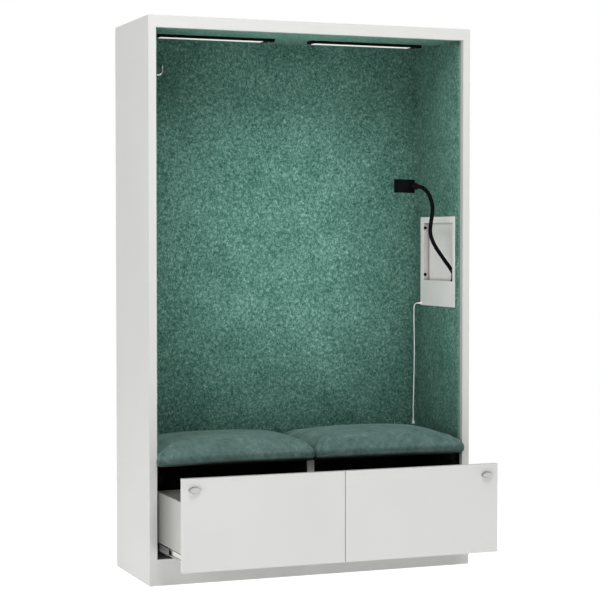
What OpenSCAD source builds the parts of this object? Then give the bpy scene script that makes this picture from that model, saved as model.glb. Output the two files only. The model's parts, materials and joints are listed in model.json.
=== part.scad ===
// Open office wardrobe: a felt-lined coat bay over an upholstered seat, with two steel drawers
// under the seat, two ceiling lamps and a charging niche with a phone arm on the right-hand wall.
// X runs across the front, Y runs from the front to the back and Z is up.
// The origin is on the floor, midway across and midway through the depth.
// Both drawers stand open, as the wardrobe is shown.

/* [Cabinet] */
// Overall width
body_w = 1200; // [1180:10:1300]
// Overall depth
body_d = 415; // [412:1:460]
// Overall height
body_h = 1930; // [1900:10:2050]
// Thickness of the two side panels
side_t = 27; // [25:1:30]
// Thickness of the top panel
top_t = 30; // [25:1:32]
// Height of the rail across the front of the top
rail_h = 40; // [36:1:60]
// Thickness of the rail, the plinth boards and the seat cleats
board_t = 19; // [16:1:22]
// Height of the plinth
plinth_h = 92; // [85:1:110]
// Thickness of the partition between the drawers
partition_t = 26; // [22:1:30]
// Distance of the partition and the cleats behind the front of the sides
partition_setback = 36; // [34:1:50]
// Thickness of the back panel
back_t = 8; // [6:1:10]
// Distance of the back panel in front of the rear edges
back_recess = 22; // [18:1:26]
// Depth of the grooves that hold the back panel
groove_d = 8; // [5:1:10]
// Gap between the side panels and the floor
floor_gap = 2; // [1:0.5:5]
// Distance between the two fixing holes in the top, for a wall bracket
bracket_pitch = 900; // [600:10:1000]
// Diameter of the fixing holes in the top
bracket_hole_d = 5; // [3:0.5:6]
// Diameter of the cable outlet in the back panel
outlet_d = 40; // [25:1:60]

/* [Felt lining] */
// Thickness of the felt
felt_t = 9; // [8:0.5:10]
// Distance of the felt behind the front of the sides
felt_setback = 21; // [19:1:30]

/* [Seat] */
// Height of the cleats and the partition that carry the seat
seat_z = 404; // [400:1:430]
// Thickness of the boards under the cushions
seat_board_t = 9; // [8:1:12]
// Overhang of the cushions in front of the sides
cushion_nose = 15; // [5:1:20]
// Height of a cushion at its edges
cushion_edge_h = 54; // [44:1:60]
// Rise of a cushion from its edges to its middle
cushion_crown = 29; // [10:1:40]
// How far the long sides of a cushion are drawn in
cushion_draw = 4; // [0:0.5:8]

/* [Drawers] */
// How far both drawers stand open
drawer_out = 280; // [0:10:300]
// Thickness of a drawer front
front_t = 20; // [16:1:22]
// Gap round each drawer front
front_gap = 1.5; // [1:0.25:3]
// Gap between the two drawer fronts
middle_gap = 2.4; // [2:0.2:4]
// Gap between a closed drawer and the back panel
box_rear_gap = 10; // [6:1:14]
// Height of the top edge of the steel sides above the floor
box_top = 322; // [300:1:330]
// Height of the bottom edge of the steel sides above the floor
box_bottom = 120; // [119:0.5:121]
// Top edge of the rear wall below the top edge of the sides
box_back_drop = 9; // [4:1:20]
// Thickness of the sheet steel
sheet_t = 1.2; // [1:0.1:1.5]
// Gap between the steel sides and the boards next to them
box_gap = 3; // [2:0.5:4]
// Height of the runners
runner_h = 27; // [25:1:27]
// Width of the runners, closed up
runner_w = 12.7; // [12.5:0.1:13]
// Height of the middle of the runners above the floor
runner_z = 136.5; // [135.5:0.5:136.5]
// Distance of a lock from the inner face of the side panel
lock_inset = 43; // [41:0.5:60]
// Height of the locks above the floor
lock_z = 363; // [358:1:368]
// Length of the eye-shaped plate of a lock
lock_l = 43; // [40:1:52]
// Height of the eye-shaped plate of a lock
lock_h = 23; // [21:0.5:30]
// How far the turning grip stands out of its plate
grip_out = 10; // [8:1:20]

/* [Lamps] */
// Length of a lamp
lamp_l = 435; // [400:5:450]
// Depth of a lamp
lamp_d = 44; // [40:1:50]
// Height of a lamp
lamp_h = 10.5; // [9:0.5:14]
// Gap between the two lamps
lamp_gap = 141; // [100:1:200]
// Distance of the front of the lamps behind the front of the sides
lamp_y = 208; // [80:2:230]
// Diameter of a lamp's button
button_d = 8; // [6:0.5:10]
// Travel of a lamp's button
button_travel = 2; // [1:0.1:2.5]

/* [Charging niche] */
// Length of the cover from front to back
cover_l = 290; // [284:1:310]
// Height of the cover
cover_h = 330; // [326:1:340]
// Distance of the cover behind the front of the sides
cover_y = 44; // [40:1:60]
// Height of the bottom of the cover above the floor
cover_z = 930; // [900:5:1000]
// How far the cover stands out of the felt
cover_out = 2; // [1.8:0.2:4]
// Length of the window in the cover
window_l = 246; // [236:1:248]
// Height of the window in the cover
window_h = 214; // [200:1:220]
// Width of the cover's border above the window
top_border = 22; // [18:1:26]
// Width of the cover's border in front of the window
near_border = 17.5; // [14:0.5:20]
// Depth of the niche behind the window
niche_depth = 21.5; // [21:0.5:22]

/* [Phone arm] */
// Diameter of the bending arm
neck_d = 14.2; // [12:0.2:14.6]
// Reach of the bending arm to the middle of the holder
arm_reach = 187; // [175:1:195]
// Rise of the bending arm to the middle of the holder
arm_rise = 322; // [300:1:340]
// Angle of the phone holder to the front
holder_yaw = 27.5; // [0:0.5:40]
// Width of the phone holder with its jaw closed
holder_w = 96; // [92:1:102]
// Height of the phone holder
holder_h = 48; // [40:1:56]
// Depth of the phone holder
holder_d = 22; // [20:1:26]
// Width between the jaws with the jaw closed
jaw_spread = 74; // [66:1:76]

/* [Coat hooks] */
// Distance of the hooks below the felt of the ceiling
hook_drop = 151; // [110:1:300]
// Reach of a hook from the felt
hook_reach = 52; // [45:1:60]
// Diameter of a hook's rod
hook_d = 8; // [6:0.5:10]
// Distance between the two hooks
hook_pitch = 170; // [120:5:200]
// Distance of the first hook behind the front of the sides
hook_y = 120; // [90:5:140]

/* [Hidden] */
$fn = 48;

board_color = [0.87, 0.87, 0.86];
felt_color = [0.24, 0.45, 0.38];
cushion_color = [0.37, 0.49, 0.46];
plywood_color = [0.16, 0.15, 0.14];
sheet_color = [0.78, 0.77, 0.75];
zinc_color = [0.7, 0.71, 0.72];
chrome_color = [0.86, 0.86, 0.87];
black_color = [0.05, 0.05, 0.055];
white_color = [0.93, 0.93, 0.92];

left = -1;
right = 1;
// clearance of a board in its groove, and of a piece laid in a hollow
fit = 0.2;
// radial clearance of a turning or sliding fit
running = 0.05;
// clearance that a soft piece keeps from its neighbours
soft_gap = 0.3;

front_y = -body_d / 2;
back_y = body_d / 2;
inner_x = body_w / 2 - side_t;
felt_x = inner_x - felt_t;
back_face_y = back_y - back_recess - back_t;
felt_back_y = back_face_y - felt_t;
top_in_z = body_h - top_t;
ceiling_z = top_in_z - felt_t;
bottom_in_z = plinth_h - board_t;
// lowest edge of the back panel, behind the rear plinth board
back_low_z = bottom_in_z - 13;

// A box from its lowest to its highest corner.
module block(low, high) translate(low) cube(high - low);

// The same box on the left (side = -1) or on the right (side = 1).
module side_block(side, low, high) mirror([side < 0 ? 1 : 0, 0, 0]) block(low, high);

// Turns a piece made along +Z so that it points along +Y, or into the depth of the cabinet.
module along_y() rotate([-90, 0, 0]) children();

// Carcass

module plain_side(side) difference() {
  side_block(side, [inner_x, front_y, floor_gap], [body_w / 2, back_y, body_h]);
  side_block(side, [inner_x - 1, back_face_y - fit, back_low_z - fit],
    [inner_x + groove_d, back_face_y + back_t + fit, top_in_z + groove_d + fit]);
}

module side_panel_left() color(board_color) plain_side(left);

// depth of the pockets for the niche and the charger in the right-hand panel
pocket_d = 14;
// room round the tray and round the charger in their pockets
pocket_gap = 1;
// chase for the power lead: its width, depth and place, and how far it runs below the seat
chase_w = 14;
chase_d = 8;
chase_y = 70;
chase_below = 60;
module side_panel_right() color(board_color) difference() {
  plain_side(right);
  block([inner_x - 1, niche_y0, niche_z0], [inner_x + pocket_d, niche_y1, niche_z1]);
  block([inner_x - 1, charger_y0, charger_z0], [inner_x + pocket_d, charger_y1, niche_z0 + 1]);
  block([inner_x - 1, chase_y, seat_z - chase_below],
    [inner_x + chase_d, chase_y + chase_w, charger_z0 + 1]);
}

bracket_hole_depth = 16;
// distance of the fixing holes from the rear edge of the top
bracket_inset = 40;
bracket_y = back_y - bracket_inset;
module top_panel() color(board_color) difference() {
  block([-inner_x, front_y + board_t, top_in_z], [inner_x, back_y, body_h]);
  block([-inner_x - 1, back_face_y - fit, top_in_z - 1],
    [inner_x + 1, back_face_y + back_t + fit, top_in_z + groove_d + fit]);
  for (s = [left, right])
    translate([s * bracket_pitch / 2, bracket_y, body_h - bracket_hole_depth])
      cylinder(d = bracket_hole_d, h = bracket_hole_depth + 1);
}

module top_rail() color(board_color)
  block([-inner_x, front_y, body_h - rail_h], [inner_x, front_y + board_t, body_h]);

module bottom_panel() color(board_color)
  block([-inner_x, front_y + board_t, bottom_in_z], [inner_x, back_face_y, plinth_h]);

module plinth_front() color(board_color)
  block([-inner_x, front_y, floor_gap], [inner_x, front_y + board_t, plinth_h]);

module plinth_back() color(board_color)
  block([-inner_x, back_face_y - board_t, floor_gap], [inner_x, back_face_y, bottom_in_z]);

module centre_partition() color(board_color)
  block([-partition_t / 2, front_y + partition_setback, plinth_h],
    [partition_t / 2, back_face_y, seat_z]);

outlet_x = 480;
outlet_z = 250;
module outlet_hole() translate([outlet_x, back_face_y - liner_t - 1, outlet_z]) along_y()
  cylinder(d = outlet_d, h = back_t + liner_t + 2);

module back_panel() color(board_color) difference() {
  reach = inner_x + groove_d - fit;
  block([-reach, back_face_y, back_low_z], [reach, back_face_y + back_t, top_in_z + groove_d]);
  outlet_hole();
}

// Dark sheets that line the space of the drawers. They start where the felt above them starts.
liner_t = 1.2;
liner_x = inner_x - liner_t;
liner_y = back_face_y - liner_t;
partition_liner_setback = 3;
module drawer_liners() color(black_color) difference() {
  low_z = joggle_z;
  for (s = [left, right]) {
    side_block(s, [liner_x, front_y + felt_setback, low_z], [inner_x, back_face_y, seat_z]);
    side_block(s, [partition_t / 2, liner_y, low_z], [liner_x, back_face_y, seat_z]);
    side_block(s, [partition_t / 2, front_y + partition_setback + partition_liner_setback, low_z],
      [partition_t / 2 + liner_t, back_face_y, seat_z]);
  }
  outlet_hole();
}

cleat_h = 30;
// the side cleats start behind the lock strikes
cleat_setback = partition_setback + 10;
module seat_cleats() color(plywood_color) for (s = [left, right]) {
  side_block(s, [liner_x - board_t, front_y + cleat_setback, seat_z - cleat_h], [liner_x, liner_y, seat_z]);
  side_block(s, [partition_t / 2 + liner_t, liner_y - board_t, seat_z - cleat_h],
    [liner_x - board_t, liner_y, seat_z]);
}

// Felt lining

module lining_back() color(felt_color)
  block([-inner_x, felt_back_y, seat_z], [inner_x, back_face_y, top_in_z]);

module side_lining(side) side_block(side, [felt_x, front_y + felt_setback, seat_z],
  [inner_x, felt_back_y, ceiling_z]);

module lining_left() color(felt_color) side_lining(left);

module lining_right() color(felt_color) difference() {
  side_lining(right);
  block([felt_x - 1, niche_y0, niche_z0], [inner_x + 1, niche_y1, niche_z1]);
  block([felt_x - 1, charger_y0, charger_z0], [inner_x + 1, charger_y1, niche_z0 + 1]);
}

module lining_ceiling() color(felt_color)
  block([-inner_x, front_y + board_t, ceiling_z], [inner_x, felt_back_y, top_in_z]);

// Feet

foot_inset = 60;
foot_places = [
  [-inner_x + foot_inset, front_y + foot_inset], [inner_x - foot_inset, front_y + foot_inset],
  [-inner_x + foot_inset, back_face_y - foot_inset], [inner_x - foot_inset, back_face_y - foot_inset],
  [0, 0]
];
foot_stem_r = 5;
foot_pad_r = 22;
socket_r = 14;
socket_low_z = 24;
module levelling_feet() color(black_color) for (p = foot_places) translate([p.x, p.y, 0])
  rotate_extrude() polygon([
    [0, 0], [foot_pad_r - 1, 0], [foot_pad_r, 1], [foot_pad_r, 5], [foot_pad_r - 2, 7],
    [9, 12], [foot_stem_r, 14], [foot_stem_r, bottom_in_z - 13], [0, bottom_in_z - 13]
  ]);

module foot_sockets() color(black_color) for (p = foot_places) translate([p.x, p.y, 0])
  rotate_extrude() polygon([
    [foot_stem_r + running, socket_low_z], [socket_r - 2, socket_low_z], [socket_r, socket_low_z + 2],
    [socket_r, bottom_in_z - 10], [socket_r + 4, bottom_in_z - 5], [socket_r * 2, bottom_in_z - 5],
    [socket_r * 2, bottom_in_z], [0, bottom_in_z], [0, bottom_in_z - 5],
    [foot_stem_r + running, bottom_in_z - 5]
  ]);

// Seat

seat_board_gap = 0.5;
seat_board_setback = 12;
seat_board_r = 12;
module seat_board(side) color(plywood_color) mirror([side < 0 ? 1 : 0, 0, 0])
  translate([0, 0, seat_z]) linear_extrude(seat_board_t) difference() {
    translate([seat_board_gap, front_y + seat_board_setback])
      square([felt_x - 2 * seat_board_gap, felt_back_y - seat_board_gap - front_y - seat_board_setback]);
    for (x = [seat_board_gap, felt_x - seat_board_gap]) translate([x, front_y + seat_board_setback])
      rotate(x > seat_board_r ? 90 : 0) corner_cut(seat_board_r);
  }

// What is cut off a square corner at the origin to round it with radius r.
module corner_cut(r) difference() {
  translate([-1, -1]) square(r + 1);
  translate([r, r]) circle(r);
}

module seat_board_left() seat_board(left);
module seat_board_right() seat_board(right);

cushion_w = felt_x - 2 * soft_gap;
cushion_front = front_y - cushion_nose;
cushion_depth = felt_back_y - soft_gap - cushion_front;
cushion_z = seat_z + seat_board_t + soft_gap;
cushion_corner_r = 26;
// Section of a cushion's side: how far it lies inside the widest outline, and its height as a
// share of the edge height.
cushion_section = [
  [9, 0], [3, 0.06], [0.4, 0.16], [0, 0.38], [1.6, 0.56], [7, 0.72], [16, 0.84], [32, 0.93],
  [56, 0.98], [90, 1], [130, 1], [168, 1]
];
side_steps = 8;
corner_steps = 5;
crown_power = 2.6;
// The outer front corner swells in front of the felt, up to the side panel.
ear = felt_t - soft_gap;
// local height up the outline where the felt starts, with a little room in front of it
felt_edge = front_y + felt_setback - 2 * soft_gap - cushion_front - cushion_depth / 2;

// Points round a rectangle with half sizes a and b, with rounded corners of radius r. The last
// corner is the outer front one, and bulges out by swell.
function round_outline(a, b, r, swell) = [
  for (q = [0:3], k = [0:corner_steps + side_steps - 1])
    let (
      cx = q == 0 || q == 3 ? a - r : r - a,
      cy = q < 2 ? b - r : r - b,
      next_cx = q == 3 || q == 2 ? a - r : r - a,
      next_cy = q == 0 || q == 3 ? b - r : r - b,
      turn = 90 * (q + min(k, corner_steps) / corner_steps),
      felt_share = max(0.02, (felt_edge - r + b) / (2 * (b - r))),
      along = q == 3 && k == corner_steps + 1 ? felt_share : max(k - corner_steps, 0) / side_steps,
      bulge = q == 3 && k <= corner_steps ? swell * (1 + k / corner_steps) / 2 : 0
    )
    [cx + (next_cx - cx) * along + r * cos(turn) + bulge, cy + (next_cy - cy) * along + r * sin(turn)]
];

function crown_share(x, y, a, b) =
  (1 - pow(min(1, abs(x / a)), crown_power)) * (1 - pow(min(1, abs(y / b)), crown_power));

// One ring of a cushion: the outline moved in by the section, its front and back drawn in between
// the corners, and its height with the crown.
function cushion_ring(a, b, step) =
  let (
    inset = step[0],
    lift = step[1],
    swell = ear * max(0, 1 - inset / 30)
  )
  [
    for (p = round_outline(a - inset, b - inset, max(6, cushion_corner_r - inset / 3), swell))
      let (
        bow = max(0, 1 - pow(p.x / a, 2)),
        pull = cushion_draw * bow * (p.y < 0 ? 1 : 0) * max(0, 1 - inset / 60),
        y = p.y + pull
      )
      [p.x, y, cushion_edge_h * lift + cushion_crown * crown_share(p.x, y, a, b) * min(1, lift)]
  ];

module seat_cushion(side) color(cushion_color) {
  a = cushion_w / 2;
  b = cushion_depth / 2;
  rings = [for (step = cushion_section) cushion_ring(a, b, step)];
  count = len(rings[0]);
  middle = [0, 0, cushion_edge_h + cushion_crown];
  base = [0, 0, 0];
  points = concat([for (ring = rings) each ring], [base, middle]);
  base_i = len(points) - 2;
  middle_i = len(points) - 1;
  last = (len(rings) - 1) * count;
  faces = concat(
    [for (k = [0:count - 1]) [base_i, k, (k + 1) % count]],
    [for (j = [0:len(rings) - 2], k = [0:count - 1], half = [0, 1])
      let (n = (k + 1) % count, low = j * count, high = low + count)
      half == 0 ? [low + k, high + n, low + n] : [low + k, high + k, high + n]],
    [for (k = [0:count - 1]) [last + k, middle_i, last + (k + 1) % count]]
  );
  mirror([side < 0 ? 1 : 0, 0, 0]) translate([soft_gap + a, cushion_front + b, cushion_z])
    polyhedron(points, faces);
}

module seat_cushion_left() seat_cushion(left);
module seat_cushion_right() seat_cushion(right);

// Lamps

lamp_front_y = front_y + lamp_y;
lamp_low_z = ceiling_z - lamp_h;
lamp_wall = 1.5;
lamp_edge_r = 1;
// closed stretches of a housing: at its left-hand end, and at its right-hand end round the button
lamp_end_l = 11.5;
switch_l = 40;
diffuser_l = lamp_l - lamp_end_l - switch_l;
diffuser_h = lamp_h - 2.5;
button_inset = 14;
button_depth = lamp_h - 3;

module place_lamp(side)
  translate([side < 0 ? -lamp_gap / 2 - lamp_l : lamp_gap / 2, lamp_front_y, lamp_low_z]) children();

// Section of a lamp housing, front to back and upwards, with its two lower edges rounded.
module lamp_section() difference() {
  square([lamp_d, lamp_h]);
  corner_cut(lamp_edge_r);
  translate([lamp_d, 0]) rotate(90) corner_cut(lamp_edge_r);
}

module lamp_housing(side) color(black_color) place_lamp(side) difference() {
  rotate([90, 0, 90]) linear_extrude(lamp_l) lamp_section();
  translate([lamp_end_l, lamp_wall, -1]) cube([diffuser_l, lamp_d - 2 * lamp_wall, diffuser_h + 1]);
  translate([lamp_l - button_inset, lamp_d / 2, -1])
    cylinder(d = button_d + 2 * running, h = button_depth + 1);
}

module lamp_diffuser(side) color(white_color) place_lamp(side)
  block([lamp_end_l + fit, lamp_wall + fit, fit],
    [lamp_end_l + diffuser_l - fit, lamp_d - lamp_wall - fit, diffuser_h - fit]);

module lamp_button(side) color(chrome_color) place_lamp(side)
  translate([lamp_l - button_inset, lamp_d / 2, -button_travel])
    cylinder(d = button_d, h = button_depth - fit);

module lamp_housing_left() lamp_housing(left);
module lamp_housing_right() lamp_housing(right);
module lamp_diffuser_left() lamp_diffuser(left);
module lamp_diffuser_right() lamp_diffuser(right);
module lamp_button_left() lamp_button(left);
module lamp_button_right() lamp_button(right);

// Charging niche

niche_sheet = 1.2;
cover_sheet = 1.5;
cover_x = felt_x - cover_out;
cover_y0 = front_y + cover_y;
cover_y1 = cover_y0 + cover_l;
cover_z1 = cover_z + cover_h;
window_y0 = cover_y0 + near_border;
window_z1 = cover_z1 - top_border;
window_y1 = window_y0 + window_l;
window_z0 = window_z1 - window_h;
tray_x = cover_x + cover_sheet;
tray_back_x = cover_x + cover_sheet + niche_depth;
// room for the tray and for the charger in the felt and the side panel
niche_y0 = window_y0 - niche_sheet - pocket_gap;
niche_y1 = window_y1 + niche_sheet + pocket_gap;
niche_z0 = window_z0 - niche_sheet - pocket_gap;
niche_z1 = window_z1 + niche_sheet + pocket_gap;
charger_y0 = cover_y0 + 36;
charger_y1 = cover_y1 - 2 * cover_sheet;
charger_z0 = cover_z + 2 * cover_sheet;
// room beside the charger for the lead behind its gland
gland_room = 26;
// distance of the gland from the rear edge and from the bottom edge of the cover
gland_inset = 7;
gland_y = cover_y1 - gland_inset;
gland_z = cover_z + gland_inset;
gland_hole_r = 3;

module niche_cover() color(white_color) difference() {
  block([cover_x, cover_y0, cover_z], [felt_x, cover_y1, cover_z1]);
  block([tray_x, cover_y0 + cover_sheet, cover_z + cover_sheet],
    [felt_x + 1, cover_y1 - cover_sheet, cover_z1 - cover_sheet]);
  block([cover_x - 1, window_y0, window_z0], [felt_x + 1, window_y1, window_z1]);
  translate([cover_x - 1, gland_y, gland_z]) rotate([0, 90, 0]) cylinder(r = gland_hole_r, h = 4);
}

screw_r = 5.8;
screw_head_h = 3;
// distances of the screws from the bottom and the top of the window
screw_low_inset = 21;
screw_top_inset = 18;
screw_x = cover_x + screw_r + 0.5;
module niche_tray() color(white_color) difference() {
  block([tray_x, window_y0 - niche_sheet, window_z0 - niche_sheet],
    [tray_back_x + niche_sheet, window_y1 + niche_sheet, window_z1 + niche_sheet]);
  block([tray_x - 1, window_y0, window_z0], [tray_back_x, window_y1, window_z1]);
}

module niche_screws() color(black_color)
  for (z = [window_z0 + screw_low_inset, window_z1 - screw_top_inset])
    translate([screw_x, window_y1, z]) rotate([90, 0, 0]) rotate_extrude() polygon([
      [0, 0], [screw_r, 0], [screw_r, screw_head_h - 1], [screw_r - 1, screw_head_h],
      [2.2, screw_head_h], [2.2, screw_head_h - 1.2], [0, screw_head_h - 1.2]
    ]);

module charger_module() color(black_color)
  block([tray_x + fit, charger_y0 + pocket_gap, charger_z0],
    [inner_x + pocket_d, charger_y1 - gland_room, niche_z0 - pocket_gap]);

gland_out = 12;
module lead_gland() color(white_color) translate([cover_x, gland_y, gland_z]) rotate([0, -90, 0])
  rotate_extrude() polygon([
    [0, -10], [gland_hole_r - fit / 2, -10], [gland_hole_r - fit / 2, 0], [5, 0], [5, 1.6], [4.4, 2.2],
    [3.4, 2.2], [2.4, gland_out], [0, gland_out]
  ]);

// Tubes along a route

function unit(v) = v / norm(v);

function spline_point(a, b, c, d, t) =
  0.5 * ((2 * b) + (c - a) * t + (2 * a - 5 * b + 4 * c - d) * pow(t, 2)
    + (3 * b - a - 3 * c + d) * pow(t, 3));

// A smooth route through the given points. Its first and last stretches stay straight.
function smooth_route(points, steps) =
  let (n = len(points) - 1)
  concat(
    [points[0]],
    [for (i = [1:n - 2], k = [0:steps - 1])
      spline_point(points[i - 1], points[i], points[i + 1], points[i + 2], k / steps)],
    [points[n - 1], points[n]]
  );

function direction_at(route, i) =
  unit(route[min(i + 1, len(route) - 1)] - route[max(i - 1, 0)]);

module tube_along(route, r, sides) {
  rings = len(route);
  points = [
    for (i = [0:rings - 1])
      let (
        ahead = direction_at(route, i),
        across = unit(cross(ahead, [0, 1, 0])),
        other = cross(across, ahead)
      )
      for (k = [0:sides - 1])
        route[i] + r * (across * cos(360 * k / sides) + other * sin(360 * k / sides))
  ];
  faces = concat(
    [[for (k = [0:sides - 1]) k]],
    [for (i = [0:rings - 2], k = [0:sides - 1], half = [0, 1])
      let (n = (k + 1) % sides, low = i * sides, high = low + sides)
      half == 0 ? [low + k, high + n, low + n] : [low + k, high + k, high + n]],
    [[for (k = [sides - 1:-1:0]) (rings - 1) * sides + k]]
  );
  polyhedron(points, faces);
}

// Charging lead, which hangs from its gland

lead_d = 3.4;
lead_start = [cover_x - gland_out, gland_y, gland_z];
lead_points = [
  [0, 0, 0], [-5, 0, 0], [-11, 0, -2], [-16, 0, -8], [-18, 0, -18], [-18, 0.5, -45], [-17, 1, -90],
  [-16, 1, -140], [-16, 0.5, -190], [-17, 0, -240], [-18, -0.5, -290], [-19, -0.5, -340],
  [-20, 0, -384], [-20, 0, -422], [-20, 0, -434]
];
lead_end = lead_start + lead_points[len(lead_points) - 1];
module charge_lead() color(white_color)
  tube_along([for (p = smooth_route(lead_points, 4)) lead_start + p], lead_d / 2, 8);

connector_relief_l = 9;
connector_body_l = 11;
module lead_connector() color(white_color) translate(lead_end) mirror([0, 0, 1]) {
  cylinder(r1 = lead_d / 2 + 0.3, r2 = lead_d / 2 + 0.9, h = connector_relief_l);
  translate([-4.5, -2.5, connector_relief_l]) cube([9, 5, connector_body_l]);
}

// Phone arm

arm_base_h = 10;
arm_base_r = 10.5;
arm_x = cover_x + arm_base_r + 0.5;
// room in front of the arm's base, so that the bending arm clears the cover as it swings
arm_inset = 3.5;
arm_y = window_y0 + arm_base_r + arm_inset;
ferrule_r = neck_d / 2 + 0.7;
ferrule_l = 12;
spigot_r = 5;
ferrule_gap = 0.3;
// ferrule at the holder's end of the bending arm
end_ferrule_r = neck_d / 2 + 0.3;
end_ferrule_l = 5;
// distance of the cone's wide end from the side of the holder
cone_inset = 3;
cone_x = holder_w / 2 - cone_inset;
neck_start = [arm_x, arm_y, window_z0 + arm_base_h + ferrule_gap + ferrule_l];
// middle of the rear face of the holder
holder_at = neck_start + [-arm_reach, 0, arm_rise];
spigot_l = 18;
cone_axis_y = -8;

module arm_base() color(black_color) translate([arm_x, arm_y, window_z0]) rotate_extrude() polygon([
  [spigot_r + running, 1.5], [spigot_r + running, arm_base_h], [ferrule_r, arm_base_h],
  [ferrule_r + 0.6, arm_base_h - 1], [ferrule_r + 0.6, 4], [arm_base_r, 3], [arm_base_r, 0], [0, 0],
  [0, 1.5]
]);

// Places a piece made in the holder's own frame: X along its width, Z up, Y away from the viewer.
module at_holder() translate(holder_at) rotate(holder_yaw) children();

function from_holder(p) = holder_at + [
  p.x * cos(holder_yaw) - p.y * sin(holder_yaw), p.x * sin(holder_yaw) + p.y * cos(holder_yaw), p.z
];

neck_end = from_holder([cone_x + ferrule_gap + end_ferrule_l, cone_axis_y, 0]);
neck_before_end = from_holder([cone_x + ferrule_gap + end_ferrule_l + 8, cone_axis_y, 0]);
// Points along the bending arm: across and into the depth as shares of its reach, and upwards as
// shares of its rise.
neck_shares = [
  [0, 0, 0], [0, 0, 0.018], [-0.077, -0.003, 0.087], [-0.173, 0.003, 0.158], [-0.278, 0.013, 0.242],
  [-0.358, 0.029, 0.311], [-0.421, 0.04, 0.379], [-0.464, 0.051, 0.453], [-0.468, 0.061, 0.525],
  [-0.447, 0.072, 0.603], [-0.42, 0.082, 0.686], [-0.407, 0.093, 0.78], [-0.452, 0.104, 0.878],
  [-0.517, 0.12, 0.945], [-0.606, 0.13, 0.986]
];
neck_points = [
  for (p = neck_shares) neck_start + [p.x * arm_reach, p.y * arm_reach, p.z * arm_rise]
];
module gooseneck() color(black_color)
  tube_along(smooth_route(concat(neck_points, [neck_before_end, neck_end]), 3), neck_d / 2, 14);

module arm_ferrules() color(black_color) {
  translate([arm_x, arm_y, window_z0 + 1.8]) cylinder(r = spigot_r, h = arm_base_h - 1.8 + ferrule_gap);
  translate([arm_x, arm_y, window_z0 + arm_base_h + ferrule_gap]) cylinder(r = ferrule_r, h = ferrule_l);
  at_holder() translate([cone_x + ferrule_gap, cone_axis_y, 0]) rotate([0, 90, 0]) {
    cylinder(r = end_ferrule_r, h = end_ferrule_l);
    translate([0, 0, -spigot_l]) cylinder(r = spigot_r, h = spigot_l);
  }
}

plate_t = 5;
tongue_t = 2;
tongue_h = 28;
tongue_l = 40;
lip_t = 3;
lip_w = 6;
jaw_outer = holder_w / 2;
jaw_inner = jaw_spread / 2;
cone_r = 12.4;
cone_l = 31;
// The jaw rests against the plate with this gap.
jaw_gap = 0.3;

// Section of one side of the holder: a web and a lip that wraps round a phone's edge.
module jaw_section() difference() {
  translate([jaw_inner, 0]) square([jaw_outer - jaw_inner, holder_d]);
  translate([jaw_outer, holder_d]) rotate(180) corner_cut(4);
}

module holder_back() color(black_color) at_holder() difference() {
  union() {
    block([-jaw_inner, 0, -holder_h / 2], [jaw_outer, plate_t, holder_h / 2]);
    translate([0, 0, -holder_h / 2]) linear_extrude(holder_h) jaw_section();
    block([jaw_inner - lip_w, holder_d - lip_t, -holder_h / 2], [jaw_inner + 1, holder_d, holder_h / 2]);
    translate([cone_x, cone_axis_y, 0]) rotate([0, -90, 0])
      cylinder(r1 = cone_r, r2 = 3, h = cone_l);
  }
  // bore for the arm's spigot
  translate([cone_x + 1, cone_axis_y, 0]) rotate([0, -90, 0])
    cylinder(r = spigot_r + running, h = spigot_l + 2);
  // slot for the jaw's tongue
  block([-jaw_inner - 1, (plate_t - tongue_t) / 2 - fit, -tongue_h / 2 - fit],
    [tongue_l - jaw_inner + 2, (plate_t + tongue_t) / 2 + fit, tongue_h / 2 + fit]);
}

module holder_jaw() color(black_color) at_holder() {
  mirror([1, 0, 0]) translate([0, 0, -holder_h / 2]) linear_extrude(holder_h) difference() {
    jaw_section();
    translate([jaw_inner - 1, -1]) square([jaw_gap + 1, plate_t + 1]);
  }
  block([-jaw_inner - 1, holder_d - lip_t, -holder_h / 2],
    [-jaw_inner + lip_w, holder_d, holder_h / 2]);
  block([-jaw_inner - 1, (plate_t - tongue_t) / 2, -tongue_h / 2],
    [tongue_l - jaw_inner, (plate_t + tongue_t) / 2, tongue_h / 2]);
}

// Coat hooks, on the left-hand wall

hook_z = ceiling_z - hook_drop;
hook_plate_t = 3;
hook_plate_r = 14;
hook_bend_r = 14;
hook_up = 14;
module coat_hook() {
  run = hook_reach - hook_plate_t - hook_bend_r - hook_d / 2;
  rotate([0, 90, 0]) rotate_extrude() polygon([
    [0, 0], [hook_plate_r, 0], [hook_plate_r, hook_plate_t - 1], [hook_plate_r - 1, hook_plate_t],
    [hook_d / 2, hook_plate_t], [hook_d / 2, hook_plate_t + run], [0, hook_plate_t + run]
  ]);
  translate([hook_plate_t + run, 0, hook_bend_r]) rotate([90, 0, 0]) rotate(-90)
    rotate_extrude(angle = 90) translate([hook_bend_r, 0]) circle(d = hook_d);
  translate([hook_plate_t + run + hook_bend_r, 0, hook_bend_r]) cylinder(d = hook_d, h = hook_up);
  translate([hook_plate_t + run + hook_bend_r, 0, hook_bend_r + hook_up]) sphere(d = hook_d + 4);
}

module coat_hooks() color(chrome_color) for (k = [0, 1])
  translate([-felt_x, front_y + hook_y + k * hook_pitch, hook_z]) coat_hook();

// Drawers. Each piece is drawn with its drawer shut, and then pulled out.

box_front_y = front_y + front_t;
box_back_y = back_face_y - box_rear_gap;
box_l = box_back_y - box_front_y;
box_outer_x = inner_x - box_gap;
box_inner_x = partition_t / 2 + box_gap;
// outer faces of the lower side walls, which stand back to make room for the runners
web_outer_x = inner_x - runner_w;
web_inner_x = partition_t / 2 + runner_w;
joggle_z = runner_z + runner_h / 2 + 2;
lip_l = 14;
hem_w = 7;
hem_t = 3;

module pull_out(share) translate([0, -drawer_out * share, 0]) children();

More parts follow.
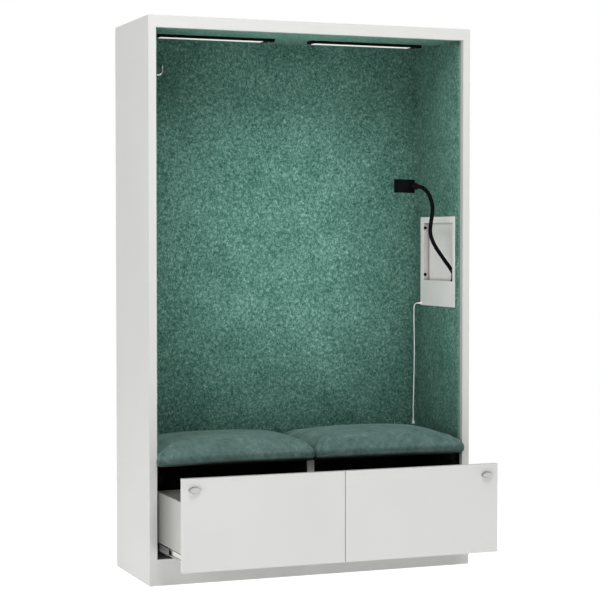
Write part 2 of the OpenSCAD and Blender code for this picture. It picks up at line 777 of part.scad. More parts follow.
module drawer_front(side) color(board_color) pull_out(1) difference() {
  side_block(side, [middle_gap / 2, front_y, plinth_h + front_gap],
    [inner_x - front_gap, front_y + front_t, seat_z - 2 - front_gap]);
  translate([side * (inner_x - lock_inset), front_y - 1, lock_z]) along_y()
    cylinder(r = barrel_r + fit, h = front_t + 2);
}

// Section of the steel side next to the side panel. toward is the way to the drawer's middle.
module box_side_section(face_x, web_x, toward) {
  wall = toward * sheet_t;
  translate([min(face_x, face_x + wall), joggle_z]) square([sheet_t, box_top - joggle_z]);
  translate([min(face_x, face_x + toward * hem_w), box_top - hem_t]) square([hem_w, hem_t]);
  translate([min(face_x, web_x + wall), joggle_z]) square([abs(face_x - web_x) + sheet_t, sheet_t]);
  translate([min(web_x, web_x + wall), box_bottom])
    square([sheet_t, joggle_z + sheet_t - box_bottom]);
  translate([min(web_x, web_x + toward * lip_l), box_bottom]) square([lip_l, sheet_t]);
}

module box_side(face_x, web_x, toward) {
  translate([0, box_back_y, 0]) rotate([90, 0, 0]) linear_extrude(box_l)
    box_side_section(face_x, web_x, toward);
  // flange that is screwed to the back of the front
  block([min(face_x, face_x + toward * lip_l), box_front_y, joggle_z],
    [max(face_x, face_x + toward * lip_l), box_front_y + sheet_t, box_top]);
}

module drawer_sides(side) color(sheet_color) mirror([side < 0 ? 1 : 0, 0, 0]) pull_out(1) {
  box_side(box_outer_x, web_outer_x, -1);
  box_side(box_inner_x, web_inner_x, 1);
}

module drawer_back(side) color(sheet_color) mirror([side < 0 ? 1 : 0, 0, 0]) pull_out(1) {
  top = box_top - box_back_drop;
  block([box_inner_x + sheet_t + fit, box_back_y - sheet_t, joggle_z + sheet_t + fit],
    [box_outer_x - sheet_t - fit, box_back_y, top]);
  block([box_inner_x + sheet_t + fit, box_back_y - hem_w, top - hem_t],
    [box_outer_x - sheet_t - fit, box_back_y, top]);
  block([web_inner_x + sheet_t + fit, box_back_y - sheet_t, box_bottom + sheet_t],
    [web_outer_x - sheet_t - fit, box_back_y, joggle_z + sheet_t + 2 * fit]);
}

module drawer_bottom(side) color(sheet_color) mirror([side < 0 ? 1 : 0, 0, 0]) pull_out(1)
  block([web_inner_x + sheet_t + fit, box_front_y, box_bottom + sheet_t],
    [web_outer_x - sheet_t - fit, box_back_y - sheet_t - fit, box_bottom + 2 * sheet_t]);

// Runners: a member on the cabinet, a middle member and a member on the drawer.
// The sections are drawn outwards from the board that carries the runner.

race_t = 1.2;
race_gap = 0.3;
// distance of the runners behind the drawer front
runner_setback = 5;
runner_y = box_front_y + runner_setback;
runner_l = box_l - runner_setback;
outer_half = runner_h / 2;
middle_half = outer_half - race_t - race_gap;
inner_half = middle_half - race_t - race_gap;

module channel_section(x0, x1, half, web_at_start) {
  translate([x0, half - race_t]) square([x1 - x0, race_t]);
  translate([x0, -half]) square([x1 - x0, race_t]);
  translate([web_at_start ? x0 : x1 - race_t, -half]) square([race_t, 2 * half]);
}

module cabinet_member_section() channel_section(0, runner_w - 2.5, outer_half, true);

module middle_member_section() {
  translate([race_t + race_gap, middle_half - race_t]) square([runner_w - 4, race_t]);
  translate([race_t + race_gap, -middle_half]) square([runner_w - 4, race_t]);
  translate([5, -middle_half]) square([race_t, 2 * middle_half]);
}

module drawer_member_section() channel_section(5 + race_t + race_gap, runner_w, inner_half, false);

// Both runners of one drawer: on the side panel and on the partition.
module runner_pair(side, out) mirror([side < 0 ? 1 : 0, 0, 0]) pull_out(out) {
  translate([inner_x, runner_y + runner_l, runner_z]) mirror([1, 0, 0]) rotate([90, 0, 0])
    linear_extrude(runner_l) children();
  translate([partition_t / 2, runner_y + runner_l, runner_z]) rotate([90, 0, 0])
    linear_extrude(runner_l) children();
}

module runner_cabinet_members() color(zinc_color)
  for (s = [left, right]) runner_pair(s, 0) cabinet_member_section();

module runner_middle(side) color(zinc_color) runner_pair(side, 0.5) middle_member_section();
module runner_drawer(side) color(zinc_color) runner_pair(side, 1) drawer_member_section();

module runner_middle_left() runner_middle(left);
module runner_middle_right() runner_middle(right);
module runner_drawer_left() runner_drawer(left);
module runner_drawer_right() runner_drawer(right);

// Locks: a fixed body in the drawer front, an eye-shaped turning grip and a cam behind the front

barrel_r = 9;
plate_out = 3;
// the grip is this much smaller than its plate
grip_margin = 3.5;
lock_spindle_r = 4;
cam_t = 3;
cam_l = 28;
cam_gap = 0.3;
barrel_end = front_t + 9.2;

module at_lock(side) translate([side * (inner_x - lock_inset), front_y - drawer_out, lock_z]) children();

// Eye-shaped outline: where two equal circles overlap.
module eye_outline(l, h) {
  r = (pow(l / 2, 2) + pow(h / 2, 2)) / h;
  intersection() {
    translate([0, r - h / 2]) circle(r, $fn = 96);
    translate([0, h / 2 - r]) circle(r, $fn = 96);
  }
}

module lock_body(side) color(chrome_color) at_lock(side) {
  along_y() rotate_extrude() polygon([
    [lock_spindle_r + running, -plate_out], [barrel_r, -plate_out], [barrel_r, barrel_end],
    [lock_spindle_r + running, barrel_end]
  ]);
  rotate([90, 0, 0]) linear_extrude(plate_out) difference() {
    eye_outline(lock_l, lock_h);
    circle(barrel_r - 1);
  }
}

module lock_grip(side) color(white_color) at_lock(side) {
  grip_l = lock_l - grip_margin;
  grip_h = lock_h - grip_margin;
  translate([0, -plate_out - cam_gap, 0]) rotate([90, 0, 0]) {
    linear_extrude(grip_out - 2) eye_outline(grip_l, grip_h);
    linear_extrude(grip_out) eye_outline(grip_l - 3, grip_h - 3);
  }
  translate([0, -plate_out - cam_gap, 0]) along_y()
    cylinder(r = lock_spindle_r, h = plate_out + barrel_end + 2 * cam_gap + cam_t);
}

// The cam hangs down while the drawer is unlocked, and turns outwards to lock it.
module lock_cam(side) color(zinc_color) at_lock(side)
  translate([0, barrel_end + cam_gap + cam_t, 0]) rotate([90, 0, 0]) linear_extrude(cam_t) difference() {
    union() {
      circle(r = barrel_r - 1);
      translate([-5, -cam_l]) square([10, cam_l]);
    }
    circle(r = lock_spindle_r + running);
  }

// An angle of sheet steel that the cam turns behind: a long plate on the liner and a shorter tab.
strike_t = 2;
strike_y = front_y + front_t + 6;
strike_reach = 25;
strike_l = 18;
strike_h = 32;
tab_h = 24;
module lock_strikes() color(black_color) for (s = [left, right]) {
  side_block(s, [liner_x - strike_t, strike_y, lock_z - strike_h / 2],
    [liner_x, strike_y + strike_l, lock_z + strike_h / 2]);
  side_block(s, [inner_x - strike_reach, strike_y, lock_z - tab_h / 2],
    [liner_x, strike_y + strike_t, lock_z + tab_h / 2]);
}

module drawer_front_left() drawer_front(left);
module drawer_front_right() drawer_front(right);
module drawer_sides_left() drawer_sides(left);
module drawer_sides_right() drawer_sides(right);
module drawer_back_left() drawer_back(left);
module drawer_back_right() drawer_back(right);
module drawer_bottom_left() drawer_bottom(left);
module drawer_bottom_right() drawer_bottom(right);
module lock_body_left() lock_body(left);
module lock_body_right() lock_body(right);
module lock_grip_left() lock_grip(left);
module lock_grip_right() lock_grip(right);
module lock_cam_left() lock_cam(left);
module lock_cam_right() lock_cam(right);

side_panel_left();
side_panel_right();
top_panel();
top_rail();
bottom_panel();
plinth_front();
plinth_back();
centre_partition();
back_panel();
seat_cleats();
lining_back();
lining_left();
lining_right();
lining_ceiling();
levelling_feet();
foot_sockets();
seat_board_left();
seat_board_right();
seat_cushion_left();
seat_cushion_right();
lamp_housing_left();
lamp_housing_right();
lamp_diffuser_left();
lamp_diffuser_right();
lamp_button_left();
lamp_button_right();
niche_cover();
niche_tray();
niche_screws();
charger_module();
lead_gland();
charge_lead();
lead_connector();
arm_base();
gooseneck();
arm_ferrules();
holder_back();
holder_jaw();
coat_hooks();
lock_strikes();
runner_cabinet_members();
runner_middle_left();
runner_middle_right();
runner_drawer_left();
runner_drawer_right();
drawer_liners();
drawer_front_left();
drawer_front_right();
drawer_sides_left();
drawer_sides_right();
drawer_back_left();
drawer_back_right();
drawer_bottom_left();
drawer_bottom_right();
lock_body_left();
lock_body_right();
lock_grip_left();
lock_grip_right();
lock_cam_left();
lock_cam_right();
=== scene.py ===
"""Looks of the office wardrobe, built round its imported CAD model. Blender 4.5, metres, row frame."""

import json
import math

import bmesh
import bpy
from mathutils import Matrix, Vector


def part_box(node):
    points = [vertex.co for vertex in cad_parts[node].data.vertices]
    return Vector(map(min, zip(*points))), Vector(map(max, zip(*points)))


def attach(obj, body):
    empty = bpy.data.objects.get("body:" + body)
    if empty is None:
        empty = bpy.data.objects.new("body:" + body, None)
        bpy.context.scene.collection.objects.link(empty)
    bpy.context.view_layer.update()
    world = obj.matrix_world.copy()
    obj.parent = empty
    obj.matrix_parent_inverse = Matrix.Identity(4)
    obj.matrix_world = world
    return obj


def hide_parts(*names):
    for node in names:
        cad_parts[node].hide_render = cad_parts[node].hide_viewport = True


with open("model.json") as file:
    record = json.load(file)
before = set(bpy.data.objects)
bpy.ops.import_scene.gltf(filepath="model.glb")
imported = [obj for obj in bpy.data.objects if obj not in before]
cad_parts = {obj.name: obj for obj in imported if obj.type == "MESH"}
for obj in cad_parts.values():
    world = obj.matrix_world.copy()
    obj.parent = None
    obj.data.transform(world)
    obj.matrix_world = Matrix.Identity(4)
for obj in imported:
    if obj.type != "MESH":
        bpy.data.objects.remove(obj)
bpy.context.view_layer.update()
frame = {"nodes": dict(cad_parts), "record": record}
NODES = frame["nodes"]
MM = 0.001

# Sizes shared with the CAD source

PANEL_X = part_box("side_panel_right")[0][0]
FRONT_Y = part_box("side_panel_right")[0][1]
FELT_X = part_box("lining_right")[0][0]
FELT_FRONT_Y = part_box("lining_right")[0][1]
FELT_BACK_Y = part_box("lining_back")[0][1]
BOARD_FRONT_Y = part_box("seat_board_right")[0][1]
SEAT_TOP_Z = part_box("seat_board_right")[1][2]
RUNNER_FRONT_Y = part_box("runner_middle_right")[0][1]
RUNNER_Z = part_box("runner_middle_right")[0][2]
SHEET_FRONT_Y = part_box("drawer_sides_right")[0][1]
SHEET_BACK_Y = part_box("drawer_sides_right")[1][1]
TRAY_BACK_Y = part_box("niche_tray")[1][1]
# Clearance between a cushion and what it lies against
SOFT_GAP = 0.0003


def middle_of(node):
    """Middle of a node's box."""
    low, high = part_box(node)
    return (Vector(low) + Vector(high)) / 2


# Camera, fitted to the cabinet's straight edges in the photograph. Angles in degrees, lens in mm.

CAMERA_PLACE = (-2.3168, -6.0455, 1.1795)
CAMERA_LOOKS_DOWN = 1.95
CAMERA_TURN = -21.18
CAMERA_LENS = 108.13
SENSOR_WIDTH = 36.0


def add_camera():
    """The photograph's camera: left of the front, a little above the middle, and a long lens."""
    data = bpy.data.cameras.new("camera")
    data.lens = CAMERA_LENS
    data.sensor_width = SENSOR_WIDTH
    data.clip_end = 60.0
    cam = bpy.data.objects.new("camera", data)
    cam.location = CAMERA_PLACE
    cam.rotation_euler = (math.radians(90 - CAMERA_LOOKS_DOWN), 0.0, math.radians(CAMERA_TURN))
    bpy.context.scene.collection.objects.link(cam)
    bpy.context.scene.camera = cam


# Charging lead

LEAD_D = 0.0034
GLAND = middle_of("lead_gland")
LEAD_START = Vector((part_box("lead_gland")[0][0], GLAND.y, GLAND.z))
LEAD_STEPS = 3
# The lead's route from its gland in millimetres, as in the CAD source
LEAD_MM = [
    (0, 0, 0), (-5, 0, 0), (-11, 0, -2), (-16, 0, -8), (-18, 0, -18), (-18, 0.5, -45),
    (-17, 1, -90), (-16, 1, -140), (-16, 0.5, -190), (-17, 0, -240), (-18, -0.5, -290),
    (-19, -0.5, -340), (-20, 0, -384), (-20, 0, -422), (-20, 0, -434),
]


def spline_point(a, b, c, d, t):
    """Point at share t between b and c of a Catmull-Rom spline."""
    first = (c - a) * t
    second = (2 * a - 5 * b + 4 * c - d) * t**2
    third = (3 * b - a - 3 * c + d) * t**3
    return 0.5 * (2 * b + first + second + third)


def smooth_route(points, steps):
    """The same smooth route as in the CAD source: its first and last stretches stay straight."""
    n = len(points) - 1
    route = [points[0]]
    for i in range(1, n - 1):
        for k in range(steps):
            route.append(spline_point(points[i - 1], points[i], points[i + 1], points[i + 2], k / steps))
    return route + [points[n - 1], points[n]]


def add_lead(material):
    """The charging lead's round sheath, from its gland down the wall to the connector."""
    points = [LEAD_START + Vector(p) * MM for p in LEAD_MM]
    route = smooth_route(points, LEAD_STEPS)
    curve = bpy.data.curves.new("charge_lead_sheath", "CURVE")
    curve.dimensions = "3D"
    curve.bevel_depth = LEAD_D / 2
    curve.bevel_resolution = 5
    curve.use_fill_caps = True
    spline = curve.splines.new("POLY")
    spline.points.add(len(route) - 1)
    for point, place in zip(spline.points, route):
        point.co = (*place, 1.0)
    piece = bpy.data.objects.new("charge_lead_sheath", curve)
    bpy.context.scene.collection.objects.link(piece)
    curve.materials.append(material)
    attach(piece, "cabinet")
    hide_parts("charge_lead")


# Materials


def srgb(r, g, b):
    """Linear colour of an 8-bit one."""
    shares = (r / 255, g / 255, b / 255)
    return tuple(((s + 0.055) / 1.055) ** 2.4 if s > 0.04 else s / 12.92 for s in shares) + (1.0,)


class Look:
    """A procedural material: a Principled shader and the few kinds of node that the looks share."""

    def __init__(self, name, color, roughness=0.5, metallic=0.0, **sockets):
        self.material = bpy.data.materials.new(name)
        self.material.use_nodes = True
        self.tree = self.material.node_tree
        self.shader = self.tree.nodes["Principled BSDF"]
        self.set("Base Color", color)
        self.set("Roughness", roughness)
        self.set("Metallic", metallic)
        for socket, value in sockets.items():
            self.set(socket.replace("_", " "), value)
        self.place = self.node("ShaderNodeTexCoord").outputs["Object"]

    def node(self, kind, **values):
        """A new node with some of its settings."""
        node = self.tree.nodes.new(kind)
        for name, value in values.items():
            setattr(node, name, value)
        return node

    def link(self, output, socket):
        """A link from an output to a socket."""
        self.tree.links.new(output, socket)

    def set(self, socket, value):
        """A constant on one of the shader's sockets."""
        self.shader.inputs[socket].default_value = value

    def stretched(self, scale, turn=(0, 0, 0)):
        """Places scaled and turned, for a texture that runs one way."""
        mapping = self.node("ShaderNodeMapping")
        mapping.inputs["Scale"].default_value = scale
        mapping.inputs["Rotation"].default_value = turn
        self.link(self.place, mapping.inputs["Vector"])
        return mapping.outputs["Vector"]

    def along(self, axis):
        """Place along X, Y or Z, in metres."""
        parts = self.node("ShaderNodeSeparateXYZ")
        self.link(self.place, parts.inputs["Vector"])
        return parts.outputs[axis]

    def outward(self):
        """Distance from the cabinet's middle plane, in metres."""
        return self.math("ABSOLUTE", self.along("X"), 0.0)

    def openness(self, distance, samples=8, only_local=False):
        """1 in the open, less where other surfaces are near."""
        node = self.node("ShaderNodeAmbientOcclusion", samples=samples, only_local=only_local)
        node.inputs["Distance"].default_value = distance
        return node.outputs["AO"]

    def with_painted_shade(self, color, painted_shade):
        """A colour darkened by painted shade between 0 and 1."""
        node = self.node("ShaderNodeVectorMath", operation="SCALE")
        self.link(color, node.inputs[0])
        self.link(painted_shade, node.inputs["Scale"])
        return node.outputs["Vector"]

    def blend(self, first, second, share):
        """Two colours, the second by a share between 0 and 1."""
        node = self.node("ShaderNodeMix", data_type="RGBA")
        self.link(share, node.inputs["Factor"])
        for color, socket in ((first, node.inputs[6]), (second, node.inputs[7])):
            if isinstance(color, tuple):
                socket.default_value = color
            else:
                self.link(color, socket)
        return node.outputs[2]

    def noise(self, scale, detail=4.0, roughness=0.55, place=None, distortion=0.0):
        """Noise between 0 and 1, at the object's own places unless others are given."""
        node = self.node("ShaderNodeTexNoise")
        node.inputs["Scale"].default_value = scale
        node.inputs["Detail"].default_value = detail
        node.inputs["Roughness"].default_value = roughness
        node.inputs["Distortion"].default_value = distortion
        self.link(place or self.place, node.inputs["Vector"])
        return node.outputs["Fac"]

    def math(self, operation, a, b):
        """a and b are outputs or numbers."""
        node = self.node("ShaderNodeMath", operation=operation)
        for socket, value in zip(node.inputs, (a, b)):
            if isinstance(value, (int, float)):
                socket.default_value = value
            else:
                self.link(value, socket)
        return node.outputs["Value"]

    def mixed(self, a, b, share):
        """a and b blended by a fixed share of b."""
        return self.math("ADD", self.math("MULTIPLY", a, 1 - share), self.math("MULTIPLY", b, share))

    def ramp(self, factor, stops):
        """stops is a list of (position, colour)."""
        node = self.node("ShaderNodeValToRGB")
        ramp = node.color_ramp
        while len(ramp.elements) < len(stops):
            ramp.elements.new(0.5)
        for element, (position, color) in zip(ramp.elements, stops):
            element.position = position
            element.color = color
        self.link(factor, node.inputs["Fac"])
        return node.outputs["Color"]

    def range(self, factor, low, high, from_low=0.3, from_high=0.7):
        """low where the factor is from_low, high where it is from_high, and even between."""
        node = self.node("ShaderNodeMapRange")
        node.inputs["From Min"].default_value = from_low
        node.inputs["From Max"].default_value = from_high
        node.inputs["To Min"].default_value = low
        node.inputs["To Max"].default_value = high
        self.link(factor, node.inputs["Value"])
        return node.outputs["Result"]

    def bump(self, *layers):
        """Layers of (height, strength, distance), one on top of the other."""
        normal = None
        for height, strength, distance in layers:
            node = self.node("ShaderNodeBump")
            node.inputs["Strength"].default_value = strength
            node.inputs["Distance"].default_value = distance
            self.link(height, node.inputs["Height"])
            if normal:
                self.link(normal, node.inputs["Normal"])
            normal = node.outputs["Normal"]
        self.link(normal, self.shader.inputs["Normal"])

    def paint(self, color=None, roughness=None):
        """Links the colour and the roughness, and gives the look back."""
        if color:
            self.link(color, self.shader.inputs["Base Color"])
        if roughness:
            self.link(roughness, self.shader.inputs["Roughness"])
        return self


def board_look(name, dark, light, roughness=0.42):
    """Melamine-faced board: an almost plain surface with a fine pearl texture."""
    look = Look(name, light, roughness, Specular_IOR_Level=0.4)
    cloud = look.noise(2.2, 3.0)
    pearl = look.noise(900, 2.0, 0.6)
    look.bump((pearl, 0.12, 0.0004))
    return look.paint(look.ramp(cloud, [(0.35, dark), (0.65, light)]),
                      look.range(pearl, roughness - 0.05, roughness + 0.08))


def felt_look():
    """Pressed felt of mixed dark and light fibres on a paler backing, seen at the cut front edges.
    Painted shade darkens it into its corners, and painted light lifts it in the open.
    """
    look = Look("felt", srgb(72, 112, 98), 0.95, Specular_IOR_Level=0.12, Sheen_Weight=0.2,
                Sheen_Roughness=0.6)
    look.set("Sheen Tint", srgb(160, 200, 185))
    blotch = look.noise(88, 5.0, 0.72, distortion=0.5)
    fibre = look.noise(260, 3.0, 0.7, look.stretched((1.0, 1.0, 0.6), (0.5, 0.7, 0.9)))
    cloud = look.noise(9, 3.0)
    mottle = look.mixed(look.mixed(blotch, fibre, 0.42), cloud, 0.1)
    look.bump((fibre, 0.5, 0.0012), (look.noise(900, 2.0), 0.35, 0.0006))
    face = look.ramp(mottle, [
        (0.36, srgb(28, 61, 52)), (0.46, srgb(64, 106, 94)), (0.54, srgb(96, 138, 125)),
        (0.64, srgb(148, 184, 171)),
    ])
    backing_x = FELT_X + 0.0028
    backing = look.range(look.outward(), 0.0, 1.0, backing_x, backing_x + 0.001)
    # Painted shade where other surfaces are near, as in the corners, and painted light a little lighter
    # in the open
    painted_corner_shade = look.range(look.openness(0.45), 0.62, 1.12, 0.45, 0.98)
    return look.paint(look.with_painted_shade(look.blend(face, srgb(112, 136, 125), backing), painted_corner_shade))


def upholstery_look():
    """Soft suede-like upholstery, cloudy and brushed, with painted shade along its foot and in its
    middle seam.
    """
    look = Look("upholstery", srgb(90, 118, 110), 0.85, Specular_IOR_Level=0.15, Sheen_Weight=0.3,
                Sheen_Roughness=0.5)
    look.set("Sheen Tint", srgb(180, 205, 198))
    cloud = look.noise(11, 4.0, 0.6, look.stretched((1.0, 1.5, 1.0)), 0.8)
    brush = look.noise(55, 4.0, 0.6, look.stretched((1.0, 0.6, 1.0)), 0.4)
    pile = look.noise(420, 3.0, 0.65)
    look.bump((pile, 0.35, 0.0008), (brush, 0.12, 0.0015))
    nap = look.ramp(look.mixed(look.mixed(cloud, brush, 0.5), pile, 0.3), [
        (0.34, srgb(50, 75, 70)), (0.45, srgb(79, 105, 100)), (0.55, srgb(95, 120, 115)),
        (0.66, srgb(122, 147, 142)),
    ])
    # Painted shade: darker towards the cushion's foot and in the seam between the two cushions
    low = look.range(look.along("Z"), 0.25, 1.0, SEAT_TOP_Z - 0.003, SEAT_TOP_Z + 0.026)
    painted_seam_shade = look.range(look.outward(), 0.35, 1.0, 0.0, 0.009)
    return look.paint(look.with_painted_shade(nap, look.math("MULTIPLY", low, painted_seam_shade)))


def plywood_look():
    """Nearly black stained plywood with a long grain."""
    look = Look("dark_plywood", srgb(16, 15, 14), 0.65, Specular_IOR_Level=0.2)
    grain = look.noise(30, 5.0, 0.6, look.stretched((0.15, 3.0, 14.0)))
    look.bump((grain, 0.2, 0.0005))
    return look.paint(look.ramp(grain, [(0.35, srgb(10, 9, 8)), (0.65, srgb(24, 21, 19))]),
                      look.range(grain, 0.55, 0.75))


def powder_look(name, dark, light, roughness=0.45, shine=0.45):
    """Powder coat on sheet metal."""
    look = Look(name, light, roughness, Specular_IOR_Level=shine)
    peel = look.noise(700, 2.0, 0.5)
    look.bump((peel, 0.1, 0.0004))
    return look.paint(look.ramp(look.noise(5, 3.0), [(0.35, dark), (0.65, light)]),
                      look.range(peel, roughness - 0.06, roughness + 0.06))


def niche_look():
    """White powder coat with a faint painted glow. Painted shade darkens the deep edges of the recess
    and its rear wall.
    """
    look = Look("niche_white", srgb(244, 242, 240), 0.45, Specular_IOR_Level=0.4)
    peel = look.noise(700, 2.0, 0.5)
    look.bump((peel, 0.1, 0.0004))
    # Painted shade in the recess's deep edges and on its rear wall
    edge = look.range(look.openness(0.014, only_local=True), 0.5, 1.0, 0.45, 0.95)
    rear_y = TRAY_BACK_Y - 0.003
    painted_rear_wall_shade = look.range(look.along("Y"), 1.0, 0.52, rear_y - 0.0015, rear_y)
    recess_x = FELT_X - 0.001
    deep = look.range(look.along("X"), 0.0, 1.0, recess_x - 0.0006, recess_x)
    painted_shade = look.math("MULTIPLY", edge, painted_rear_wall_shade)
    # Only the recess gets the painted shade, and the cover's face stays as it is
    painted_shade = look.math("ADD", look.math("MULTIPLY", look.math("SUBTRACT", painted_shade, 1.0), deep), 1.0)
    coat = look.ramp(look.noise(5, 3.0), [(0.35, srgb(237, 232, 230)), (0.65, srgb(242, 237, 235))])
    color = look.with_painted_shade(coat, painted_shade)
    # Painted light: the coat glows faintly in its own colour, though it is no lamp
    look.link(color, look.shader.inputs["Emission Color"])
    look.set("Emission Strength", 0.035)
    return look.paint(color, look.range(peel, 0.39, 0.51))


def sheet_look():
    """Grey coating of the drawers' steel, with painted shade that darkens it towards the cabinet, and
    light on the rear wall.
    """
    look = Look("painted_sheet", srgb(140, 140, 136), 0.4, Specular_IOR_Level=0.45)
    peel = look.noise(700, 2.0, 0.5)
    look.bump((peel, 0.1, 0.0004))
    # Painted shade: the drawer sides darken from the front towards the cabinet, and the last stop, on
    # the rear wall, is lighter
    painted_shade = look.range(look.along("Y"), 0.0, 1.0, SHEET_FRONT_Y - 0.0025, SHEET_BACK_Y - 0.0025)
    return look.paint(look.ramp(painted_shade, [
        (0.0, srgb(158, 158, 154)), (0.17, srgb(147, 147, 143)), (0.4, srgb(114, 114, 110)),
        (0.59, srgb(92, 92, 88)), (0.7, srgb(70, 70, 66)), (0.94, srgb(66, 66, 63)),
        (0.99, srgb(196, 196, 192)),
    ]), look.range(peel, 0.36, 0.48))


def zinc_look():
    """Zinc-plated runners with painted shade towards the cabinet, and painted light that keeps their
    lower flange brighter.
    """
    look = Look("zinc_steel", srgb(190, 190, 188), 0.42, 1.0)
    brush = look.noise(60, 4.0, 0.7, look.stretched((60, 1.0, 60)))
    look.bump((brush, 0.08, 0.0002))
    bright = look.ramp(brush, [(0.3, srgb(178, 177, 172)), (0.7, srgb(200, 199, 194))])
    # Painted shade towards the cabinet; painted light keeps the lower flange brighter
    painted_shade = look.range(look.along("Y"), 1.0, 0.1, RUNNER_FRONT_Y - 0.0375, RUNNER_FRONT_Y + 0.0075)
    painted_flange_light = look.range(look.along("Z"), 0.4, 0.0, RUNNER_Z + 0.0045, RUNNER_Z + 0.0065)
    color = look.with_painted_shade(bright, look.math("MAXIMUM", painted_shade, painted_flange_light))
    return look.paint(color, look.range(brush, 0.3, 0.45))


def metal_look(name, dark, light, low, high, stretch, bump=0.08):
    """Metal brushed along the least stretched direction, with a roughness between low and high."""
    look = Look(name, light, high, 1.0)
    brush = look.noise(60, 4.0, 0.7, look.stretched(stretch))
    look.bump((brush, bump, 0.0002))
    return look.paint(look.ramp(brush, [(0.3, dark), (0.7, light)]), look.range(brush, low, high))


def plastic_look(name, dark, light, low, high, grain=1400, bump=0.15, metallic=0.0, shine=0.4):
    """Plastic, rubber or painted metal with a fine grain, and a roughness between low and high."""
    look = Look(name, light, high, metallic, Specular_IOR_Level=shine)
    fine = look.noise(grain, 2.0, 0.5)
    look.bump((fine, bump, 0.0003))
    return look.paint(look.ramp(look.noise(40, 3.0), [(0.3, dark), (0.7, light)]),
                      look.range(fine, low, high))


def opal_look():
    """The lamps' opal diffusers, glowing softly."""
    look = Look("lamp_opal", srgb(245, 245, 240), 0.5)
    look.set("Emission Color", (1.0, 0.98, 0.94, 1.0))
    look.set("Emission Strength", 0.42)
    fine = look.noise(500, 2.0)
    look.bump((fine, 0.05, 0.0002))
    return look.paint(None, look.range(fine, 0.45, 0.6))


LOOKS = {
    "board": board_look("board", srgb(189, 189, 187), srgb(192, 192, 190)),
    "drawer_board": board_look("drawer_board", srgb(189, 189, 187), srgb(192, 192, 190)),
    "felt": felt_look(),
    "upholstery": upholstery_look(),
    "dark_plywood": plywood_look(),
    "liner_black": powder_look("liner_black", srgb(8, 8, 8), srgb(13, 13, 12), 0.6, shine=0.15),
    "painted_sheet": sheet_look(),
    "zinc_steel": zinc_look(),
    "satin_chrome": metal_look(
        "satin_chrome", srgb(112, 113, 114), srgb(150, 151, 152), 0.16, 0.26,
        stretch=(1.0, 30, 30), bump=0.03,
    ),
    "grip_white": powder_look("grip_white", srgb(172, 172, 170), srgb(178, 178, 176), 0.4, shine=0.3),
    "lamp_black": plastic_look(
        "lamp_black", srgb(7, 7, 8), srgb(12, 12, 13), 0.45, 0.6,
        grain=1800, bump=0.08, metallic=0.2, shine=0.05,
    ),
    "lamp_opal": opal_look(),
    "lamp_button": metal_look(
        "lamp_button", srgb(200, 201, 203), srgb(228, 229, 230), 0.2, 0.3, stretch=(30, 30, 1.0),
    ),
    "niche_white": niche_look(),
    "screw_black": plastic_look(
        "screw_black", srgb(4, 4, 4), srgb(8, 8, 8), 0.4, 0.55, grain=900, bump=0.1, shine=0.05,
    ),
    "black_plastic": plastic_look(
        "black_plastic", srgb(4, 4, 5), srgb(9, 9, 10), 0.45, 0.6, shine=0.05,
    ),
    "ferrule_black": plastic_look(
        "ferrule_black", srgb(5, 5, 6), srgb(11, 11, 12), 0.4, 0.55,
        grain=1800, bump=0.06, metallic=0.15, shine=0.07,
    ),
    "arm_rubber": plastic_look(
        "arm_rubber", srgb(3, 3, 4), srgb(8, 8, 9), 0.6, 0.75, grain=900, bump=0.2, shine=0.05,
    ),
    "white_plastic": plastic_look(
        "white_plastic", srgb(236, 238, 236), srgb(243, 245, 243), 0.3, 0.42, grain=900, bump=0.05,
    ),
    "lead_sheath": plastic_look(
        "lead_sheath", srgb(236, 240, 237), srgb(243, 247, 244), 0.4, 0.5, grain=900, bump=0.05,
    ),
}
# How far the sharp edges of each slot's pieces are rounded, in millimetres
EDGE_MM = {
    "board": 0.8, "drawer_board": 0.9, "felt": 0.6, "dark_plywood": 0.6, "painted_sheet": 0.3,
    "zinc_steel": 0.2, "satin_chrome": 0.7, "lamp_black": 0.4, "lamp_opal": 0.3, "lamp_button": 0.3,
    "niche_white": 0.4, "screw_black": 0.3, "black_plastic": 0.6, "ferrule_black": 0.5,
    "white_plastic": 0.4, "liner_black": 0.2, "grip_white": 1.0,
}
SHARP_FROM = math.radians(40)


def dress_nodes():
    """Every CAD node gets its slot's material, and rounded edges where its slot has them."""
    for part in frame["record"]["subparts"]:
        node = NODES[part["node"]]
        slot = part["material_slot"]
        node.data.materials.clear()
        node.data.materials.append(LOOKS[slot].material)
        if slot in EDGE_MM:
            bevel = node.modifiers.new("rounded", "BEVEL")
            bevel.width = EDGE_MM[slot] * MM
            bevel.segments = 2
            bevel.limit_method = "ANGLE"
            bevel.angle_limit = SHARP_FROM
            bevel.harden_normals = True


# Cushions

CUSHION_FRONT = FRONT_Y - 0.015
CUSHION_Z = SEAT_TOP_Z + SOFT_GAP
CUSHION_HALF_X = (FELT_X - 2 * SOFT_GAP) / 2
CUSHION_HALF_Y = (FELT_BACK_Y - SOFT_GAP - CUSHION_FRONT) / 2
# Section from foot to crown: inset from the outline in millimetres, and share of the height
SECTION = [
    (11, 0), (4.5, 0.07), (1.2, 0.17), (0, 0.38), (1.6, 0.56), (7, 0.72), (16, 0.84), (32, 0.93),
    (56, 0.98), (90, 1), (130, 1), (168, 1),
]
EDGE_H = 0.054
CROWN = 0.029
CROWN_POWER = 2.6
CORNER_R = 0.013
LEAST_R = 0.006
# The form before it is filled is wider all round, to be pressed into its place, and lower
SPREAD = 0.004
EDGE_SHRINK = 0.002
CROWN_SHRINK = 0.005
# Filling by cloth simulation
VOXEL = 0.0055
FILL_FRAMES = 20
PRESSURE = 4.0
SWELL_CAP = 0.009
FLAT_BELOW = 0.004
